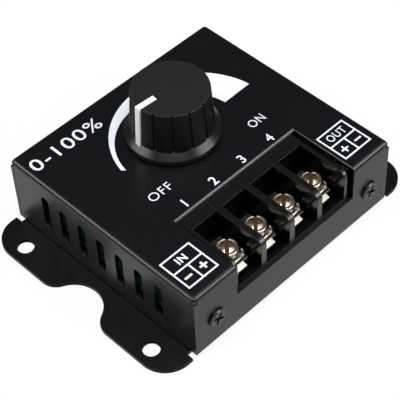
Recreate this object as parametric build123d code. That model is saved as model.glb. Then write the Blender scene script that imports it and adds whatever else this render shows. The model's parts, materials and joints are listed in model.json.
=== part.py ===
from build123d import *
import os

os.makedirs("parts", exist_ok=True)

# Rotary dimmer in a folded sheet case. Millimetres, origin on the mounting plane under the middle
# of the case, +Z up, the terminals face -Y and the flanges stand out at -X and +X.

# Case
case_width = 69.5
case_length = 65.3
case_height = 22.1
sheet = 1.0
bend_inner_radius = 0.3
corner_seam = 0.15
corner_relief = 0.9

# Mounting flanges
flange_reach = 10.5
flange_corner_radius = 7.7
flange_waist_depth = 7.3
flange_waist_radius = 8.0
flange_shoulder_radius = 5.0
flange_notch = 1.25
flange_slit = 2.1
flange_bend_radius = 0.1
mount_hole_diameter = 4.5
mount_hole_edge = 4.4
mount_hole_end = 9.35

# Vent slots in the two side walls
vent_count = 7
vent_width = 2.75
vent_height = 10.9
vent_pitch = 6.75
vent_foot = 6.0

# Bottom plate and its upturned screw tabs
plate_clearance = 0.2
tab_clearance = 0.05
tab_width = 9.0
tab_height = 14.0
tab_relief = 0.8

# Pan-head case screws
case_screw_inset = 7.1
case_screw_height = 9.6
case_screw_diameter = 3.0
case_screw_head_diameter = 5.3
case_screw_head_height = 0.8
case_screw_head_chamfer = 0.35
case_screw_length = 5.0
case_screw_seat_gap = 0.05
thread_clearance = 0.05
recess_width = 0.8
recess_length = 3.5
recess_depth = 0.6
recess_turn = 28.0

# Circuit board on standoffs
board_thickness = 1.6
board_side_gap = 0.95
board_end_gap = 0.4
standoff_height = 4.8
standoff_across_flats = 5.5
standoff_inset_x = 3.3
standoff_inset_y = 8.2
board_screw_diameter = 3.0
board_screw_head_diameter = 5.6
board_screw_head_height = 2.0
board_screw_head_chamfer = 0.5
board_screw_grip = 3.0
board_hole_clearance = 0.15

# Barrier terminal housing
terminal_count = 4
terminal_pitch = 10.0
divider_width = 1.75
divider_corner_radius = 2.1
end_wall = 1.0
block_depth = 19.1
block_drop = 0.7
block_front_gap = 0.05
cutout_left_gap = 0.45
cutout_right_gap = 1.25
cutout_back_gap = 0.12
cutout_sill_height = 11.4
cutout_edge_chamfer = 0.2
housing_edge_chamfer = 0.05
seat_above_sill = 0.95
sill_thickness = 1.15
trench_depth = 2.1
pedestal_setback = 4.1
compartment_depth = 15.2
rear_rim = 1.0
ledge_drop = 0.4

# Terminal plates
terminal_plate_thickness = 1.0
terminal_plate_width = 7.3
plate_overhang = 0.1
tongue_width = 3.5
tongue_length = 1.4
tongue_drop = 0.45
plate_back_gap = 1.6
leg_width = 3.0
leg_tail = 1.4
leg_clearance = 0.1

# Clamp plates and lock washers
screw_setback = 7.6
clamp_seat_gap = 0.05
clamp_width = 6.8
clamp_depth = 6.4
clamp_thickness = 0.8
clamp_corner_radius = 0.5
clamp_running_clearance = 0.08
lip_thickness = 0.4
lip_height = 1.2
lip_crest = 5.8
washer_height = 1.3
washer_wall = 1.0
washer_bore_clearance = 0.15
washer_split = 0.7

# Terminal screws
terminal_screw_diameter = 3.5
terminal_head_diameter = 6.4
terminal_head_height = 2.2
terminal_head_crown = 0.6
terminal_screw_reach = 2.85
terminal_screw_relief = 0.3
terminal_screw_tip_gap = 0.5
head_seat_gap = 0.05
slot_width = 0.9
slot_depth = 1.1
slot_turn = 45.0
cross_length = 4.4

# Potentiometer hung under the cover
knob_offset = 9.4
pot_diameter = 16.4
pot_height = 7.4
pot_rim_height = 0.5
pot_rim_overhang = 0.2
pot_seat_gap = 0.05
bushing_diameter = 7.0
bushing_height = 6.1
bushing_hole_clearance = 0.2
shaft_diameter = 6.0
shaft_running_clearance = 0.05
shaft_end_depth = 6.0
shaft_end_gap = 0.4
shaft_flat_depth = 0.6
washer_diameter = 12.4
pot_washer_thickness = 0.5
nut_across_flats = 10.0
nut_height = 2.0
nut_clearance = 0.05
pin_count = 3
pin_pitch = 5.0
pin_width = 1.2
pin_thickness = 0.6
pin_reach = 1.4
pin_level = 1.6
pin_tail = 1.2
pin_clearance = 0.1

# Knob
knob_gap = 0.8
knob_skirt_diameter = 25.0
knob_skirt_edge = 1.2
knob_skirt_rise = 1.5
knob_foot_diameter = 21.7
knob_top_diameter = 20.15
knob_height = 14.6
knob_top_chamfer = 0.15
knob_wall = 2.0
knob_roof = 2.2
hub_diameter = 9.6
hub_nut_gap = 0.7
hub_roof = 0.4
hub_clearance = 0.03
groove_positions = 14
groove_radius = 0.37
pointer_angle = 175.8
pointer_width = 1.65
pointer_inner_radius = 4.9
pointer_inlay = 0.5
pointer_rib = 0.45
pointer_raise = 0.08

# Electronic pieces on the board
transistor_body = (10.0, 9.0, 4.4)
transistor_tab_length = 6.3
transistor_tab_thickness = 1.3
transistor_hole_diameter = 3.6
transistor_lead_length = 2.6
transistor_lead_pitch = 2.54
transistor_lead_width = 0.8
transistor_inset = 6.8
transistor_pitch = 11.4
transistor_housing_gap = 0.8
capacitor_diameter = 10.0
capacitor_headroom = 1.2
capacitor_crimp = 0.4
capacitor_inset_x = 12.8
capacitor_inset_y = 9.2
diode_diameter = 5.3
diode_length = 9.5
diode_inset = 6.3
diode_housing_gap = 4.8
chip_body = (9.4, 6.4, 3.3)
chip_leg_pitch = 2.54
chip_leg_width = 1.0
chip_leg_reach = 0.9
chip_legs_a_side = 4
chip_notch_radius = 0.9
chip_inset = 8.2
regulator_diameter = 4.8
regulator_height = 4.6
regulator_flat = 1.3
regulator_lead_height = 2.0
regulator_lead_width = 0.5
regulator_lead_pitch = 1.27
regulator_chip_gap = 3.4
regulator_inset = 5.2
resistor_diameter = 2.4
resistor_length = 6.3
resistor_end_chamfer = 0.4
resistor_pitch = 4.0
resistor_count = 3
resistor_chip_gap = 1.5
small_capacitor_body = (5.0, 2.6, 5.0)
small_capacitor_corner_radius = 0.6
small_capacitor_chip_gap = 3.3
small_capacitor_diode_gap = 5.0

# Levels and faces that follow from the sizes above
half_width = case_width / 2
half_length = case_length / 2
inner_width = half_width - sheet
inner_length = half_length - sheet
bend_outer_radius = bend_inner_radius + sheet
wall_foot = sheet
roof_under = case_height - sheet
flange_edge = half_width + flange_reach
flange_root = half_width + flange_notch
mount_hole_x = flange_edge - mount_hole_edge
mount_hole_y = half_length - mount_hole_end
tab_face = inner_length - tab_clearance
case_screw_x = half_width - case_screw_inset

board_bottom = sheet + standoff_height
board_top = board_bottom + board_thickness
board_half_width = inner_width - board_side_gap
board_half_length = tab_face - sheet - board_end_gap
standoff_x = board_half_width - standoff_inset_x
standoff_y = board_half_length - standoff_inset_y

block_front = -(inner_length - block_front_gap)
block_back = block_front + block_depth
block_top = case_height - block_drop
compartment_width = terminal_pitch - divider_width
block_half_width = (terminal_count * terminal_pitch - divider_width) / 2 + end_wall
compartment_back = block_front + compartment_depth
seat_level = cutout_sill_height + seat_above_sill
pedestal_front = block_front + pedestal_setback
first_terminal = -(terminal_count - 1) / 2 * terminal_pitch
terminal_x = [first_terminal + way * terminal_pitch for way in range(terminal_count)]
screw_y = block_front + screw_setback

plate_top = seat_level + terminal_plate_thickness
plate_front = pedestal_front - plate_overhang
plate_back = compartment_back - plate_back_gap
clamp_foot = plate_top + clamp_seat_gap
clamp_top = clamp_foot + clamp_thickness
washer_top = clamp_top + washer_height
head_foot = washer_top + head_seat_gap
terminal_screw_radius = terminal_screw_diameter / 2

pot_top = roof_under - pot_seat_gap
pot_foot = pot_top - pot_height
bushing_radius = bushing_diameter / 2
bushing_top = pot_top + bushing_height
shaft_radius = shaft_diameter / 2
nut_foot = case_height + pot_washer_thickness
pin_face = knob_offset - pot_diameter / 2
pin_y = pin_face - pin_reach

knob_foot = case_height + knob_gap
skirt_top = knob_skirt_edge + knob_skirt_rise
hub_foot = bushing_top + hub_nut_gap - knob_foot
cavity_top = knob_height - knob_roof
bore_top = cavity_top - hub_roof
shaft_top = knob_foot + bore_top - shaft_end_gap
flat_foot = knob_foot + hub_foot
groove_step = 360 / groove_positions

transistor_x = board_half_width - transistor_inset
transistor_y = block_back + transistor_housing_gap + transistor_lead_length
capacitor_x = board_half_width - capacitor_inset_x
capacitor_y = board_half_length - capacitor_inset_y
capacitor_height = roof_under - board_top - capacitor_headroom
diode_x = board_half_width - diode_inset
diode_y = block_back + diode_housing_gap + diode_length / 2
chip_y = board_half_length - chip_inset
chip_half_width = chip_body[0] / 2
chip_front = chip_y - chip_body[1] / 2 - chip_leg_reach


def block(x0, x1, y0, y1, z0, z1):
    return Pos((x0 + x1) / 2, (y0 + y1) / 2, (z0 + z1) / 2) * Box(x1 - x0, y1 - y0, z1 - z0)


def post(x, y, z0, z1, radius):
    return Pos(x, y, (z0 + z1) / 2) * Cylinder(radius, z1 - z0)


def bent_section(outline, bends):
    # Closed section with the listed corners rounded to their bend radii
    section = make_face(Polyline(*outline, close=True))
    for corner, radius in bends:
        section = fillet(section.vertices().sort_by_distance((*corner, 0))[0], radius)
    return section


def turned(outline):
    # Solid of revolution about Z from (radius, height) corners
    return revolve(Plane.XZ * make_face(Polyline(*outline, close=True)), axis=Axis.Z)


def group(pieces):
    return Compound(children=[piece.solid() for piece in pieces])


def case_screw_spots():
    # One location for each case screw, under its head and pointing into the case
    face = half_length + case_screw_seat_gap
    spots = []
    for x in (-case_screw_x, case_screw_x):
        spots.append(Pos(x, -face, case_screw_height) * Rot(-90, 0, 0))
        spots.append(Pos(x, face, case_screw_height) * Rot(90, 0, 0))
    return spots


def screw_holes():
    hole = post(0, 0, -sheet, case_screw_length, case_screw_diameter / 2 + thread_clearance)
    return [spot * hole for spot in case_screw_spots()]


def case_flange():
    # Right flange: round-cornered lobes with a waist between them
    reach = flange_edge - flange_root
    outline = Pos(flange_root + reach / 2, 0) * Rectangle(reach, case_length)
    outer = outline.vertices().group_by(Axis.X)[-1]
    outline = fillet(outer, flange_corner_radius)
    waist_x = flange_edge - flange_waist_depth + flange_waist_radius
    outline -= Pos(waist_x, 0) * Circle(flange_waist_radius)
    shoulders = outline.vertices().sort_by_distance((flange_edge, 0, 0))[:2]
    outline = fillet(shoulders, flange_shoulder_radius)
    for y in (-mount_hole_y, mount_hole_y):
        outline -= Pos(mount_hole_x, y) * Circle(mount_hole_diameter / 2)
    return extrude(outline, sheet)


def case_shell():
    # Open box with its roof bent down into four walls
    outer = block(-half_width, half_width, -half_length, half_length, wall_foot, case_height)
    inner = block(-inner_width, inner_width, -inner_length, inner_length, 0, roof_under)
    shell = fillet(outer.edges().group_by(Axis.Z)[-1], bend_outer_radius)
    return shell - fillet(inner.edges().group_by(Axis.Z)[-1], bend_inner_radius)


def corner_cuts():
    # Seam where a side wall meets an end wall, with a relief notch between the ends of the bends
    notch_top = case_height + sheet
    notch_foot = case_height - bend_outer_radius - corner_relief
    seam = block(inner_width, half_width + sheet, inner_length - corner_seam, inner_length, 0, notch_foot)
    notch_x = inner_width - corner_seam
    notch_y = inner_length - corner_seam
    notch = block(notch_x, half_width + sheet, notch_y, half_length + sheet, notch_foot, notch_top)
    cut = seam + notch
    cut += mirror(cut, about=Plane.XZ)
    return [cut, mirror(cut, about=Plane.YZ)]


def flange_bend():
    # Foot of the right side wall, turned outward between the two slits
    top = 2 * bend_outer_radius
    outline = [(flange_root, sheet), (half_width, sheet), (half_width, top)]
    outline += [(inner_width, top), (inner_width, 0), (flange_root, 0)]
    bends = [((half_width, sheet), flange_bend_radius), ((inner_width, 0), flange_bend_radius + sheet)]
    return extrude(Plane.XZ * bent_section(outline, bends), half_length - flange_slit, both=True)


def top_cover():
    flange = case_flange() + flange_bend()
    cover = case_shell() - corner_cuts()
    cover += [flange, mirror(flange, about=Plane.YZ)]
    # Terminal cut-out through the roof, the front bend and the front wall
    cut_left = -block_half_width - cutout_left_gap
    cut_right = block_half_width + cutout_right_gap
    cut_back = block_back + cutout_back_gap
    cut_front = -half_length - sheet
    cover -= block(cut_left, cut_right, cut_front, cut_back, cutout_sill_height, case_height + sheet)
    cut_middle = Pos((cut_left + cut_right) / 2, (cut_front + cut_back) / 2)
    mouth = cut_middle * Rectangle(cut_right - cut_left, cut_back - cut_front)
    cover -= Pos(0, 0, case_height - cutout_edge_chamfer) * extrude(mouth, cutout_edge_chamfer, taper=-45)
    # Vents pass through both side walls
    vent = SlotOverall(vent_height, vent_width, rotation=90)
    for step in range(vent_count):
        y = (step - (vent_count - 1) / 2) * vent_pitch
        place = Plane.YZ * Pos(y, vent_foot + vent_height / 2)
        cover -= extrude(place * vent, half_width + sheet, both=True)
    bushing_hole = bushing_radius + bushing_hole_clearance
    cover -= post(0, knob_offset, roof_under - sheet, case_height + sheet, bushing_hole)
    cover -= screw_holes()
    return cover


def bottom_plate():
    plate_x = inner_width - plate_clearance
    plate_y = inner_length - plate_clearance
    plate = block(-plate_x, plate_x, -plate_y, plate_y, 0, sheet)
    # Front tab section, folded up from the plate
    root = -tab_face + 2 * bend_outer_radius
    outline = [(root, 0), (-tab_face, 0), (-tab_face, tab_height)]
    outline += [(sheet - tab_face, tab_height), (sheet - tab_face, sheet), (root, sheet)]
    bends = [((-tab_face, 0), bend_outer_radius), ((sheet - tab_face, sheet), bend_inner_radius)]
    tab = extrude(Plane.YZ * bent_section(outline, bends), tab_width / 2, both=True)
    tab = fillet(tab.edges().filter_by(Axis.Y).group_by(Axis.Z)[-1], sheet)
    window_half = tab_width / 2 + tab_relief
    window_root = bend_outer_radius - tab_face
    for x in (-case_screw_x, case_screw_x):
        window = block(x - window_half, x + window_half, -tab_face - sheet, window_root, -sheet, 2 * sheet)
        plate -= [window, mirror(window, about=Plane.XZ)]
        front_tab = Pos(x, 0, 0) * tab
        plate += [front_tab, mirror(front_tab, about=Plane.XZ)]
    plate -= screw_holes()
    return plate


def cross_recess(turn):
    # Two crossed slots, as deep on either side of Z 0
    slot = Box(recess_length, recess_width, 2 * recess_depth)
    return [Rot(0, 0, turn) * slot, Rot(0, 0, turn + 90) * slot]


def case_screws():
    radius = case_screw_head_diameter / 2
    head = post(0, 0, -case_screw_head_height, 0, radius)
    head = chamfer(head.edges().group_by(Axis.Z)[0], case_screw_head_chamfer)
    head -= [Pos(0, 0, -case_screw_head_height) * slot for slot in cross_recess(recess_turn)]
    screw = head + post(0, 0, 0, case_screw_length, case_screw_diameter / 2)
    return group([spot * screw for spot in case_screw_spots()])


def standoff_spots():
    return [(x, y) for x in (-standoff_x, standoff_x) for y in (-standoff_y, standoff_y)]


def leg_hole(x, z0, z1):
    # Passage for one terminal plate's leg
    half = leg_width / 2 + leg_clearance
    leg_front = plate_back - terminal_plate_thickness - leg_clearance
    return block(x - half, x + half, leg_front, plate_back + leg_clearance, z0, z1)


def circuit_board():
    x = board_half_width
    y = board_half_length
    board = block(-x, x, -y, y, board_bottom, board_top)
    hole_radius = board_screw_diameter / 2 + board_hole_clearance
    for x, y in standoff_spots():
        board -= post(x, y, board_bottom - sheet, board_top + sheet, hole_radius)
    for x in terminal_x:
        board -= leg_hole(x, board_bottom - sheet, board_top + sheet)
    for x in pin_places():
        board -= pin_leg(x, board_bottom - sheet, board_top + sheet, pin_clearance)
    return board


def board_standoffs():
    hexagon = RegularPolygon(standoff_across_flats / 2, 6, major_radius=False)
    hexagon -= Circle(board_screw_diameter / 2 + thread_clearance)
    return group([Pos(x, y, sheet) * extrude(hexagon, standoff_height) for x, y in standoff_spots()])


def board_screws():
    head = post(0, 0, 0, board_screw_head_height, board_screw_head_diameter / 2)
    head = chamfer(head.edges().group_by(Axis.Z)[-1], board_screw_head_chamfer)
    head -= [Pos(0, 0, board_screw_head_height) * slot for slot in cross_recess(0)]
    screw = head + post(0, 0, -board_thickness - board_screw_grip, 0, board_screw_diameter / 2)
    return group([Pos(x, y, board_top) * screw for x, y in standoff_spots()])


def terminal_housing():
    housing = block(-block_half_width, block_half_width, block_front, block_back, board_top, block_top)
    half = compartment_width / 2
    over = block_top + sheet
    for x in terminal_x:
        housing -= block(x - half, x + half, block_front - sheet, compartment_back, seat_level, over)
        trench_back = block_front + sill_thickness
        housing -= block(x - half, x + half, trench_back, pedestal_front, seat_level - trench_depth, over)
        ledge = block_top - ledge_drop
        housing -= block(x - half, x + half, compartment_back - sheet, block_back - rear_rim, ledge, over)
        hole_foot = head_foot - screw_length() - terminal_screw_tip_gap
        housing -= post(x, screw_y, hole_foot, over, terminal_screw_radius + terminal_screw_relief)
        housing -= leg_hole(x, board_top - sheet, over)
    noses = housing.edges().filter_by(Axis.X).group_by(Axis.Z)[-1].group_by(Axis.Y)[0]
    housing = fillet(noses, divider_corner_radius)
    crosswise = housing.edges().filter_by(Axis.X)
    back_edge = crosswise.group_by(Axis.Y)[-1].group_by(Axis.Z)[-1]
    ledge_edges = crosswise.filter_by_position(Axis.Y, compartment_back, compartment_back)
    housing = chamfer(back_edge + ledge_edges.group_by(Axis.Z)[-1], housing_edge_chamfer)
    return chamfer(housing.edges().filter_by(Axis.Y).group_by(Axis.Z)[-1], housing_edge_chamfer)


def screw_length():
    # Under the head: washer, clamp, plate and the reach below the plate
    return head_foot - seat_level + terminal_screw_reach


def terminal_plate(x):
    half = terminal_plate_width / 2
    plate = block(x - half, x + half, plate_front, plate_back, seat_level, plate_top)
    plate = fillet(plate.edges().filter_by(Axis.Z), clamp_corner_radius)
    tip = plate_front - tongue_length
    root = plate_front + clamp_corner_radius
    outline = [(root, plate_top), (root, seat_level), (plate_front, seat_level)]
    outline += [(tip, seat_level - tongue_drop), (tip, plate_top - tongue_drop), (plate_front, plate_top)]
    tongue = extrude(Plane.YZ * make_face(Polyline(*outline, close=True)), tongue_width / 2, both=True)
    leg_half = leg_width / 2
    leg_front = plate_back - terminal_plate_thickness
    leg = block(x - leg_half, x + leg_half, leg_front, plate_back, board_bottom - leg_tail, seat_level)
    plate += [Pos(x, 0, 0) * tongue, leg]
    hole_radius = terminal_screw_radius + thread_clearance
    return plate - post(x, screw_y, seat_level - sheet, plate_top + sheet, hole_radius)


def clamp_plate(x):
    clamp = Pos(x, screw_y, clamp_foot) * extrude(Rectangle(clamp_width, clamp_depth), clamp_thickness)
    half = clamp_depth / 2
    crest_half = lip_crest / 2
    lip_top = clamp_top + lip_height
    outline = [(screw_y - half, clamp_top), (screw_y + half, clamp_top)]
    outline += [(screw_y + crest_half, lip_top), (screw_y - crest_half, lip_top)]
    lip = extrude(Plane.YZ * make_face(Polyline(*outline, close=True)), lip_thickness)
    clamp += [Pos(x - clamp_width / 2, 0, 0) * lip, Pos(x + clamp_width / 2 - lip_thickness, 0, 0) * lip]
    hole_radius = terminal_screw_radius + clamp_running_clearance
    return clamp - post(x, screw_y, clamp_foot - sheet, clamp_top + sheet, hole_radius)


def lock_washer(x):
    bore = terminal_screw_radius + washer_bore_clearance
    rim = bore + washer_wall
    ring = Circle(rim) - Circle(bore)
    ring -= Pos(0, -(bore + rim) / 2) * Rectangle(washer_split, rim, rotation=-25)
    return Pos(x, screw_y, clamp_top) * extrude(ring, washer_height)


def terminal_screw(x):
    head = post(0, 0, 0, terminal_head_height, terminal_head_diameter / 2)
    head = fillet(head.edges().group_by(Axis.Z)[-1], terminal_head_crown)
    top = Pos(0, 0, terminal_head_height)
    head -= top * Box(terminal_head_diameter, slot_width, 2 * slot_depth)
    head -= top * Box(slot_width, cross_length, 2 * slot_depth)
    screw = head + post(0, 0, -screw_length(), 0, terminal_screw_radius)
    return Pos(x, screw_y, head_foot) * Rot(0, 0, slot_turn) * screw


def potentiometer_body():
    radius = pot_diameter / 2
    body = post(0, knob_offset, pot_foot, pot_top - pot_rim_height, radius)
    body += post(0, knob_offset, pot_top - pot_rim_height, pot_top, radius + pot_rim_overhang)
    # Flat front block that carries the solder terminals
    pin_half = pin_count * pin_pitch / 2
    body += block(-pin_half, pin_half, pin_face, knob_offset, pot_foot, pot_top - pot_rim_height)
    bore_foot = pot_top - shaft_end_depth - shaft_end_gap
    return body - post(0, knob_offset, bore_foot, pot_top + sheet, shaft_radius + shaft_running_clearance)


def potentiometer_bushing():
    bushing = post(0, knob_offset, pot_top, bushing_top, bushing_radius)
    bushing = chamfer(bushing.edges().group_by(Axis.Z)[-1], thread_clearance * 10)
    bore_radius = shaft_radius + shaft_running_clearance
    return bushing - post(0, knob_offset, pot_foot, bushing_top + sheet, bore_radius)


def potentiometer_washer():
    ring = Circle(washer_diameter / 2) - Circle(bushing_radius + nut_clearance)
    return Pos(0, knob_offset, case_height) * extrude(ring, pot_washer_thickness)


def potentiometer_nut():
    hexagon = RegularPolygon(nut_across_flats / 2, 6, major_radius=False)
    hexagon -= Circle(bushing_radius + nut_clearance)
    return Pos(0, knob_offset, nut_foot) * extrude(hexagon, nut_height)


def pin_places():
    return [(pin - (pin_count - 1) / 2) * pin_pitch for pin in range(pin_count)]


def pin_leg(x, z0, z1, clearance):
    half = pin_width / 2 + clearance
    return block(x - half, x + half, pin_y - clearance, pin_y + pin_thickness + clearance, z0, z1)


def potentiometer_terminals():
    # Each strip leaves the front block, turns down and passes through the board
    level = pot_foot + pin_level
    pins = []
    for x in pin_places():
        strip = block(x - pin_width / 2, x + pin_width / 2, pin_y, pin_face, level, level + pin_thickness)
        pins.append(strip + pin_leg(x, board_bottom - pin_tail, level, 0))
    return group(pins)


def shaft_flat(radius, z0, z1, flat_depth):
    # Round bar with one flat at +Y
    bar = post(0, 0, z0, z1, radius)
    return bar - block(-radius, radius, radius - flat_depth, radius, z0, z1)


def potentiometer_shaft():
    shaft = post(0, 0, pot_top - shaft_end_depth, flat_foot, shaft_radius)
    shaft += shaft_flat(shaft_radius, flat_foot, shaft_top, shaft_flat_depth)
    return Pos(0, knob_offset, 0) * shaft


def knob_skirt():
    # Conical skirt, carried in under the fluted body
    skirt_radius = knob_skirt_diameter / 2
    foot_radius = knob_foot_diameter / 2
    slope = knob_skirt_rise / (skirt_radius - foot_radius)
    inner_radius = foot_radius - knob_wall
    inner_top = skirt_top + slope * knob_wall
    corners = [(inner_radius, 0), (skirt_radius, 0), (skirt_radius, knob_skirt_edge)]
    corners.append((inner_radius, inner_top))
    return turned(corners)


def body_radius(height):
    # Radius of the tapered body between its foot and its top
    share = (height - skirt_top) / (knob_height - skirt_top)
    return knob_foot_diameter / 2 + share * (knob_top_diameter - knob_foot_diameter) / 2


def pointer_section():
    # Rib down the side and bar across the top, in the plane of the pointer
    crest = knob_height + pointer_raise
    root = knob_height - pointer_inlay
    outline = [(pointer_inner_radius, crest), (pointer_inner_radius, root)]
    outline += [(body_radius(root) - pointer_inlay, root), (body_radius(0) - pointer_inlay, 0)]
    outline.append((body_radius(0) + pointer_rib, 0))
    outline.append((body_radius(knob_height) + pointer_rib, crest))
    return make_face(Polyline(*outline, close=True))


def pointer_blank():
    blank = extrude(Plane.XZ * pointer_section(), pointer_width / 2, both=True)
    return blank - knob_skirt()


def knob_body():
    top_radius = knob_top_diameter / 2
    edge = knob_height - knob_top_chamfer
    inner_foot = body_radius(0) - knob_wall
    inner_top = body_radius(cavity_top) - knob_wall
    hub_radius = hub_diameter / 2
    corners = [(0, knob_height), (top_radius - knob_top_chamfer, knob_height), (body_radius(edge), edge)]
    corners += [(body_radius(0), 0), (inner_foot, 0), (inner_top, cavity_top), (hub_radius, cavity_top)]
    corners += [(hub_radius, hub_foot), (0, hub_foot)]
    body = turned(corners)
    # One slanted groove, repeated round the body between the pointer's place and itself
    lean = (knob_top_diameter - knob_foot_diameter) / 2 / (knob_height - skirt_top)
    foot = Plane(origin=(body_radius(0), 0, 0), z_dir=(lean, 0, 1))
    groove = extrude(foot * Circle(groove_radius), 2 * knob_height)
    for step in range(1, groove_positions):
        body -= Rot(0, 0, step * groove_step) * groove
    return body


def knob():
    bore_radius = shaft_radius + hub_clearance
    piece = knob_body() + knob_skirt()
    bore = shaft_flat(bore_radius, hub_foot, bore_top, shaft_flat_depth)
    piece -= [Rot(0, 0, -pointer_angle) * bore, pointer_blank()]
    return Pos(0, knob_offset, knob_foot) * Rot(0, 0, pointer_angle) * piece


def knob_pointer():
    return Pos(0, knob_offset, knob_foot) * Rot(0, 0, pointer_angle) * pointer_blank()


def power_transistors():
    width, length, height = transistor_body
    piece = block(-width / 2, width / 2, 0, length, 0, height)
    piece = chamfer(piece.edges().group_by(Axis.Z)[-1], transistor_tab_thickness / 2)
    tab = block(-width / 2, width / 2, length, length + transistor_tab_length, 0, transistor_tab_thickness)
    tab -= post(0, length + transistor_tab_length / 2, -sheet, height, transistor_hole_diameter / 2)
    piece += tab
    for lead in (-1, 0, 1):
        x = lead * transistor_lead_pitch
        half = transistor_lead_width / 2
        piece += block(x - half, x + half, -transistor_lead_length, 0, 0, transistor_lead_width)
    inner_x = transistor_x - transistor_pitch
    return group([Pos(x, transistor_y, board_top) * piece for x in (-transistor_x, -inner_x, inner_x)])


def filter_capacitors():
    radius = capacitor_diameter / 2
    neck = radius - capacitor_crimp
    low = radius / 2
    shoulder = capacitor_height - capacitor_crimp
    corners = [(0, 0), (radius, 0), (radius, low), (neck, low + capacitor_crimp)]
    corners += [(radius, low + 2 * capacitor_crimp), (radius, shoulder)]
    corners += [(neck, capacitor_height), (0, capacitor_height)]
    return group([Pos(x, capacitor_y, board_top) * turned(corners) for x in (-capacitor_x, capacitor_x)])


def flyback_diode():
    radius = diode_diameter / 2
    return Pos(diode_x, diode_y, board_top + radius) * Rot(90, 0, 0) * Cylinder(radius, diode_length)


def timer_chip():
    width, length, height = chip_body
    stand = chip_leg_width / 2
    chip = block(-width / 2, width / 2, -length / 2, length / 2, stand, stand + height)
    chip -= post(-width / 2, 0, stand + height / 2, stand + 2 * height, chip_notch_radius)
    for leg in range(chip_legs_a_side):
        x = (leg - (chip_legs_a_side - 1) / 2) * chip_leg_pitch
        half = chip_leg_width / 2
        reach = length / 2 + chip_leg_reach
        chip += block(x - half, x + half, -reach, reach, stand, stand + chip_leg_width)
        for side in (-reach, reach - stand):
            chip += block(x - half, x + half, side, side + stand, 0, stand + chip_leg_width)
    return Pos(0, chip_y, board_top) * chip


def voltage_regulator():
    radius = regulator_diameter / 2
    can = post(0, 0, regulator_lead_height, regulator_lead_height + regulator_height, radius)
    can -= block(-radius, radius, regulator_flat, radius, 0, 2 * regulator_height)
    half = regulator_lead_width / 2
    for lead in (-1, 0, 1):
        x = lead * regulator_lead_pitch
        can += block(x - half, x + half, -half, half, 0, regulator_lead_height)
    x = chip_half_width + regulator_chip_gap + radius
    return Pos(x, board_half_length - regulator_inset, board_top) * can


def resistors():
    radius = resistor_diameter / 2
    body = Cylinder(radius, resistor_length)
    body = chamfer(body.edges().filter_by(GeomType.CIRCLE), resistor_end_chamfer)
    y = chip_front - resistor_chip_gap - resistor_length / 2
    row = []
    for step in range(resistor_count):
        x = (step - (resistor_count - 1) / 2) * resistor_pitch
        row.append(Pos(x, y, board_top + radius) * Rot(90, 0, 0) * body)
    return group(row)


def small_capacitors():
    width, depth, height = small_capacitor_body
    body = block(-width / 2, width / 2, -depth / 2, depth / 2, 0, height)
    body = fillet(body.edges().filter_by(Axis.Z), small_capacitor_corner_radius)
    chip_side = -chip_half_width - small_capacitor_chip_gap - width / 2
    diode_back = diode_y + diode_length / 2 + small_capacitor_diode_gap + depth / 2
    spots = [(chip_side, board_half_length - regulator_inset), (diode_x, diode_back)]
    return group([Pos(x, y, board_top) * body for x, y in spots])


nodes = {
    "top_cover": top_cover(),
    "bottom_plate": bottom_plate(),
    "case_screws": case_screws(),
    "circuit_board": circuit_board(),
    "board_standoffs": board_standoffs(),
    "board_screws": board_screws(),
    "terminal_housing": terminal_housing(),
    "potentiometer_body": potentiometer_body(),
    "potentiometer_bushing": potentiometer_bushing(),
    "potentiometer_washer": potentiometer_washer(),
    "potentiometer_nut": potentiometer_nut(),
    "potentiometer_terminals": potentiometer_terminals(),
    "potentiometer_shaft": potentiometer_shaft(),
    "knob": knob(),
    "knob_pointer": knob_pointer(),
    "power_transistors": power_transistors(),
    "filter_capacitors": filter_capacitors(),
    "flyback_diode": flyback_diode(),
    "timer_chip": timer_chip(),
    "voltage_regulator": voltage_regulator(),
    "resistors": resistors(),
    "small_capacitors": small_capacitors(),
}
for way, x in enumerate(terminal_x, start=1):
    nodes[f"terminal_plate_{way}"] = terminal_plate(x)
    nodes[f"clamp_plate_{way}"] = clamp_plate(x)
    nodes[f"lock_washer_{way}"] = lock_washer(x)
    nodes[f"terminal_screw_{way}"] = terminal_screw(x)

for name, piece in nodes.items():
    export_step(piece, f"parts/{name}.step")
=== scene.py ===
import json
import math

import bmesh
import bpy
from mathutils import Matrix, Vector


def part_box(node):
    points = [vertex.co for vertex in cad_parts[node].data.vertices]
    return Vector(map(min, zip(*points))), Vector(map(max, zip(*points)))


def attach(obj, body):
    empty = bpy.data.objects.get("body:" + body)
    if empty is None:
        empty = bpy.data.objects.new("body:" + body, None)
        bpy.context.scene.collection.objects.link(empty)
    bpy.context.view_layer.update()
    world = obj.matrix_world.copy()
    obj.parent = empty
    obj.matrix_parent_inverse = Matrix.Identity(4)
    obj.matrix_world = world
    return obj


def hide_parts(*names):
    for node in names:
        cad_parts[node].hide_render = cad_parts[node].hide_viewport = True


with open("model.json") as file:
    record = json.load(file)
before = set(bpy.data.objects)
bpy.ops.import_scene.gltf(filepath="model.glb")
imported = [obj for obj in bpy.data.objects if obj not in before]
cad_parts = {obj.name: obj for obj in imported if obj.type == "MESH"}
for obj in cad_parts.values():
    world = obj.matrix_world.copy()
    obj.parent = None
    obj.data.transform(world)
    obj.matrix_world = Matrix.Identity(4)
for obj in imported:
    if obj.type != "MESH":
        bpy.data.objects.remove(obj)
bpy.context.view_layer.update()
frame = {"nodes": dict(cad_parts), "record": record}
nodes = frame["nodes"]
mm = 0.001
ways = (1, 2, 3, 4)
cornerSigns = ((-1, -1), (1, -1), (1, 1), (-1, 1))
print("frame loaded with", len(nodes), "nodes")


# node helpers
def addNode(tree, kind, **values):
    node = tree.nodes.new("ShaderNode" + kind)
    for key, value in values.items():
        setattr(node, key, value)
    return node


def feed(tree, source, target):
    tree.links.new(source, target)


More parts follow.
